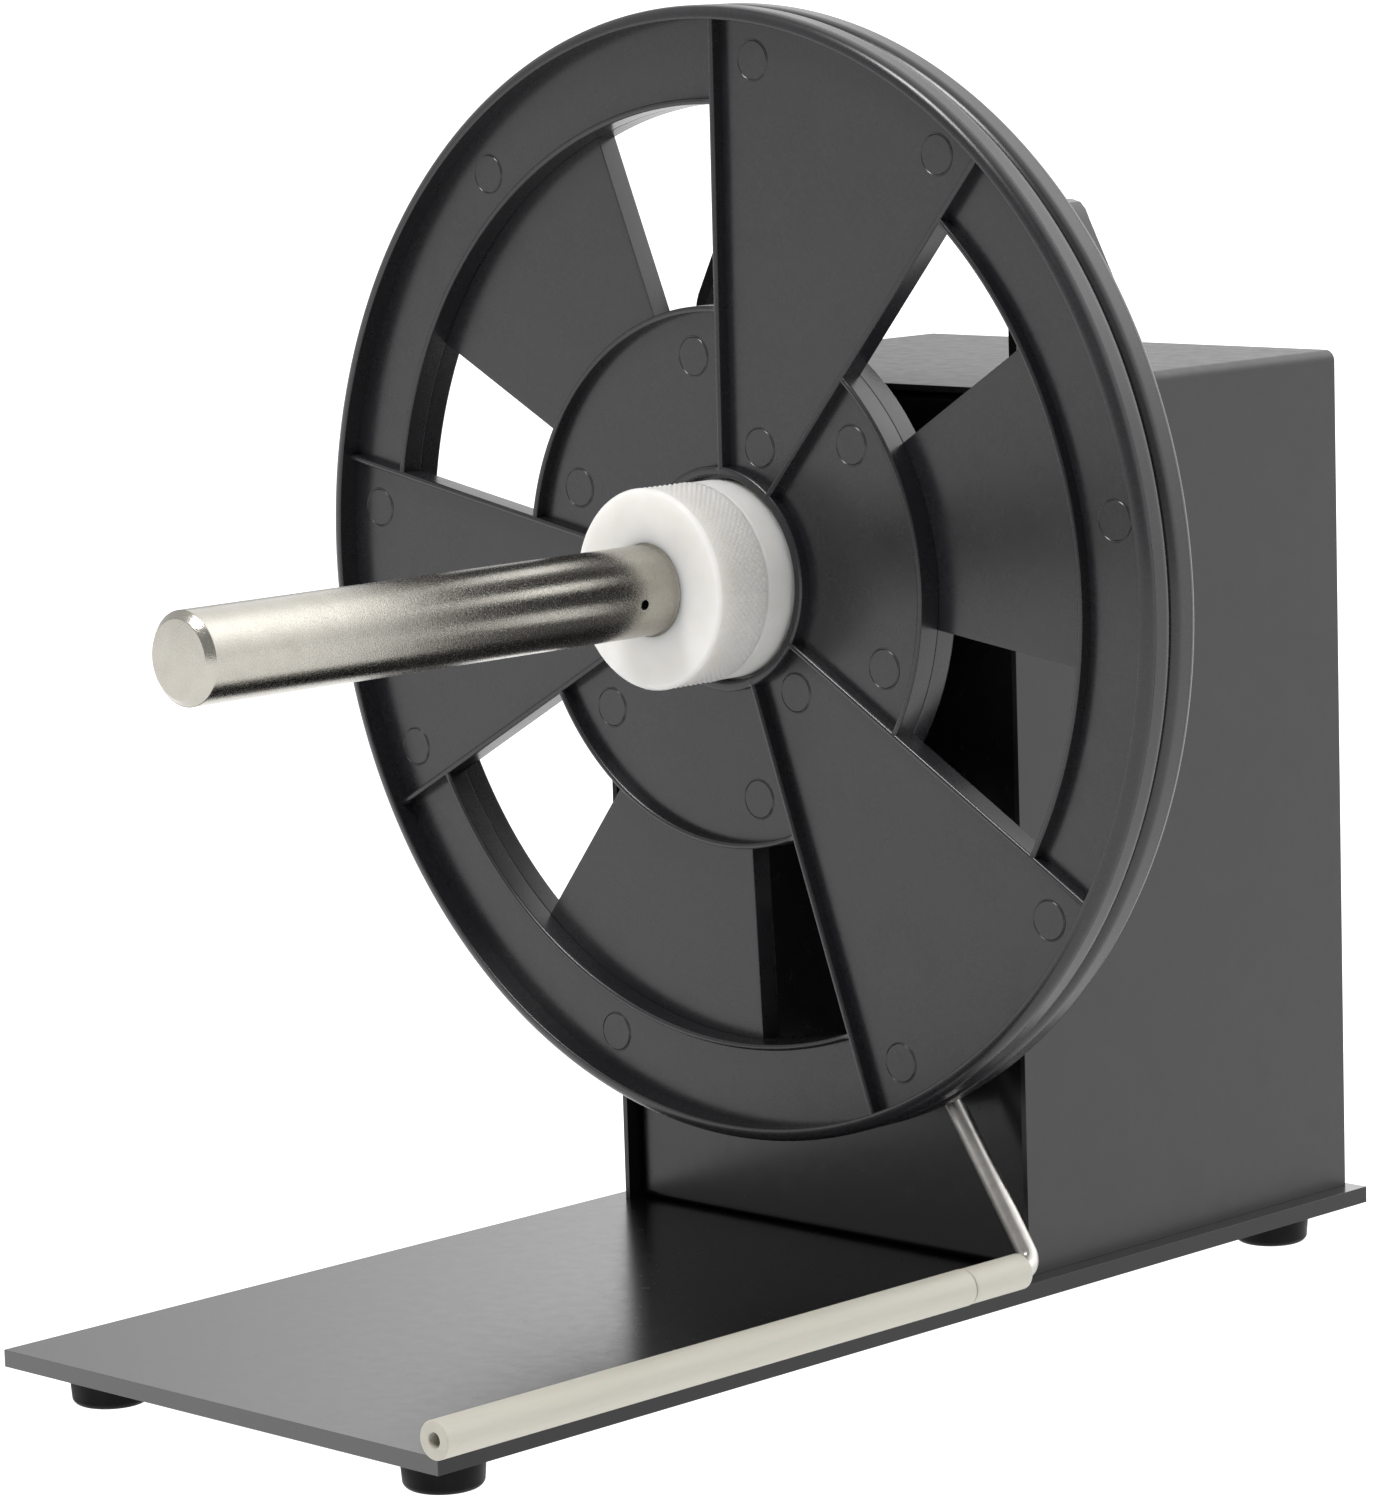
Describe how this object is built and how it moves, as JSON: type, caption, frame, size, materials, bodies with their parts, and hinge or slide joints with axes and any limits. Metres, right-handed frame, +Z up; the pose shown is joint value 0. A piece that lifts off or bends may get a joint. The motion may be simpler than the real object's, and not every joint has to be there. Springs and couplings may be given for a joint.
{
  "type": "label rewinder",
  "caption": "Bench-top label rewinder: a flanged reel on a long spindle in front of a sheet-metal motor housing, with a swinging dancer roller that senses web tension.",
  "frame": {"origin": "centre of the object's footprint, on the table under the rubber feet", "axes": "+Z up; +Y from the spindle's free end (front) to the rear panel; +X to the right seen from the front, where the dancer roller is; the spindle axis is parallel to Y in the plane X = 0"},
  "size_m": [0.221, 0.263, 0.2562],
  "materials": {
    "powder_black": "semi-gloss fine orange-peel powder coat",
    "abs_black": "satin moulded plastic",
    "rubber": "matt",
    "zinc_screw": "zinc plated",
    "nickel": "worn nickel plate",
    "steel_rod": "dull drawn steel wire",
    "nylon_white": "natural nylon",
    "tube_ivory": "ivory plastic tube",
    "bronze": "sintered bronze",
    "zinc_plate": "zinc plated sheet",
    "alloy": "turned aluminium",
    "motor_steel": "plain steel can",
    "brass": "turned brass",
    "board_green": "solder mask",
    "component_dark": "sleeve",
    "terminal_green": "moulded",
    "control_black": "satin moulded plastic",
    "sensor_blue": "moulded",
    "dark_steel": "black oxide"
  },
  "bodies": {
    "frame": {"base_plate": "powder_black", "rubber_feet": "rubber", "cover": "powder_black", "cover_screws": "zinc_screw", "front_panel": "powder_black", "rear_panel": "powder_black", "panel_screws": "zinc_screw", "carry_handle": "powder_black", "handle_screws": "zinc_screw", "handle_nuts": "zinc_screw", "bearing_housing": "alloy", "housing_screws": "zinc_screw", "front_bearing": "bronze", "bearing_bracket": "zinc_plate", "bracket_screws": "zinc_screw", "rear_bearing": "bronze", "gearbox": "motor_steel", "motor_can": "motor_steel", "motor_terminals": "brass", "motor_screws": "zinc_screw", "control_board": "board_green", "board_capacitors": "component_dark", "terminal_block": "terminal_green", "heat_sink": "alloy", "board_standoffs": "brass", "board_screws": "zinc_screw", "dc_inlet": "control_black", "inlet_pin": "brass", "inlet_nut": "zinc_screw", "switch_body": "control_black", "pivot_bush": "nylon_white", "sensor_bracket": "zinc_plate", "tension_sensor": "sensor_blue"},
    "reel": {"spindle": "nickel", "front_flange": "abs_black", "rear_flange": "abs_black", "core_hub": "nylon_white", "drive_gear": "nylon_white", "gear_set_screw": "dark_steel", "retaining_ring": "dark_steel"},
    "motor_output": {"motor_shaft": "steel_rod", "pinion_gear": "brass", "pinion_set_screw": "dark_steel"},
    "dancer": {"dancer_rod": "steel_rod", "pivot_collar": "zinc_plate", "roller_stop": "tube_ivory"},
    "roller": {"roller_tube": "tube_ivory"},
    "rocker": {"switch_rocker": "control_black"}
  },
  "joints": [
    {"name": "reel_spin", "type": "hinge", "parent": "frame", "child": "reel", "pos_m": [0, 0, 0.1457], "axis": [0, -1, 0], "continuous": true},
    {"name": "motor_spin", "type": "hinge", "parent": "frame", "child": "motor_output", "pos_m": [0, 0.054, 0.1057], "axis": [0, -1, 0], "continuous": true},
    {"name": "dancer_swing", "type": "hinge", "parent": "frame", "child": "dancer", "pos_m": [0.01571, 0.0255, 0.08262], "axis": [0, -1, 0], "range_deg": [0, 45]},
    {"name": "roller_spin", "type": "hinge", "parent": "dancer", "child": "roller", "pos_m": [0.06085, -0.06, 0.01416], "axis": [0, -1, 0], "continuous": true},
    {"name": "switch_rock", "type": "hinge", "parent": "frame", "child": "rocker", "pos_m": [-0.024, 0.1245, 0.0486], "axis": [1, 0, 0], "range_deg": [-9, 9]}
  ],
  "couplings": [
    {"joint": "motor_spin", "follows": "reel_spin", "ratio": -3}
  ]
}
